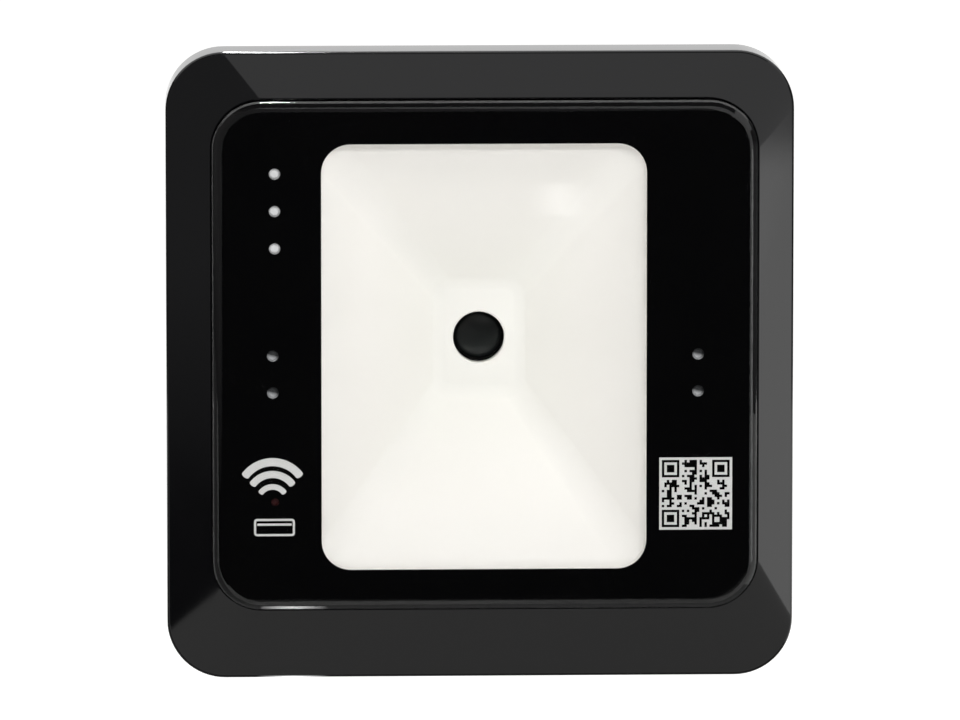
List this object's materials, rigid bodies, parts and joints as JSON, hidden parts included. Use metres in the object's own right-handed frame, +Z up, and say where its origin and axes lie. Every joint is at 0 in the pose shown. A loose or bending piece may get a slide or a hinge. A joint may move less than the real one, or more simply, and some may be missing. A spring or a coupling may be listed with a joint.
{
  "type": "qr code reader",
  "caption": "Square flush reader for printed codes and contactless cards: sloped black frame, raised cover glass and a white pyramid reflector round a small lens.",
  "frame": {"origin": "centre of the whole unit's box; the panel's surface lies 7.4 mm in front of it, at y = -0.0074", "axes": "+Z up, +X to the right as a user faces it, the glass looks along -Y and the rear box runs along +Y"},
  "size_m": [0.086, 0.0432, 0.0864],
  "materials": {
    "bezel_plastic": "high gloss black ABS",
    "cover_plastic": "fine spark-textured black ABS",
    "cover_glass": "clear polished toughened glass",
    "black_film": "black screen-printed film",
    "foam_tape": "black foam tape",
    "white_plastic": "satin white ABS",
    "circuit_board": "green solder mask",
    "lamp_resin": "clear to milky lamp resin",
    "sensor_resin": "dark red resin",
    "nylon": "natural nylon",
    "chip_package": "black epoxy",
    "lens_glass": "coated lens glass",
    "silicone": "grey silicone",
    "polyimide": "amber film",
    "zinc_steel": "zinc plated",
    "tinned_steel": "tinned",
    "copper_wire": "enamelled copper",
    "brass": "turned brass",
    "gold_plate": "gold plated"
  },
  "bodies": {
    "root": {"antenna_board": "circuit_board", "antenna_coil": "copper_wire", "antenna_screw_1": "zinc_steel", "antenna_screw_2": "zinc_steel", "antenna_screw_3": "zinc_steel", "antenna_screw_4": "zinc_steel", "antenna_socket": "nylon", "board_flex": "polyimide", "board_screw_1": "zinc_steel", "board_screw_2": "zinc_steel", "board_screw_3": "zinc_steel", "board_screw_4": "zinc_steel", "board_socket": "nylon", "buzzer": "cover_plastic", "capacitor": "tinned_steel", "card_sensor": "sensor_resin", "cover_glass": "cover_glass", "cover_screw_1": "zinc_steel", "cover_screw_2": "zinc_steel", "cover_screw_3": "zinc_steel", "cover_screw_4": "zinc_steel", "fixing_insert_1": "brass", "fixing_insert_2": "brass", "fixing_insert_3": "brass", "fixing_insert_4": "brass", "front_bezel": "bezel_plastic", "glass_tape": "foam_tape", "header_pin_1": "gold_plate", "header_pin_2": "gold_plate", "header_pin_3": "gold_plate", "header_pin_4": "gold_plate", "header_pin_5": "gold_plate", "header_pin_6": "gold_plate", "housing_seal": "silicone", "image_sensor": "chip_package", "left_board_link": "nylon", "left_indicator_board": "circuit_board", "lens_barrel": "cover_plastic", "lens_glass": "lens_glass", "lens_holder": "cover_plastic", "main_board": "circuit_board", "mask_film": "black_film", "memory_chip": "chip_package", "processor": "chip_package", "radio_shield": "tinned_steel", "rear_cover": "cover_plastic", "reflector": "white_plastic", "right_board_link": "nylon", "right_indicator_board": "circuit_board", "side_led_1": "lamp_resin", "side_led_2": "lamp_resin", "side_led_3": "lamp_resin", "side_led_4": "lamp_resin", "status_led_1": "lamp_resin", "status_led_2": "lamp_resin", "status_led_3": "lamp_resin", "wire_header": "nylon"}
  },
  "joints": []
}
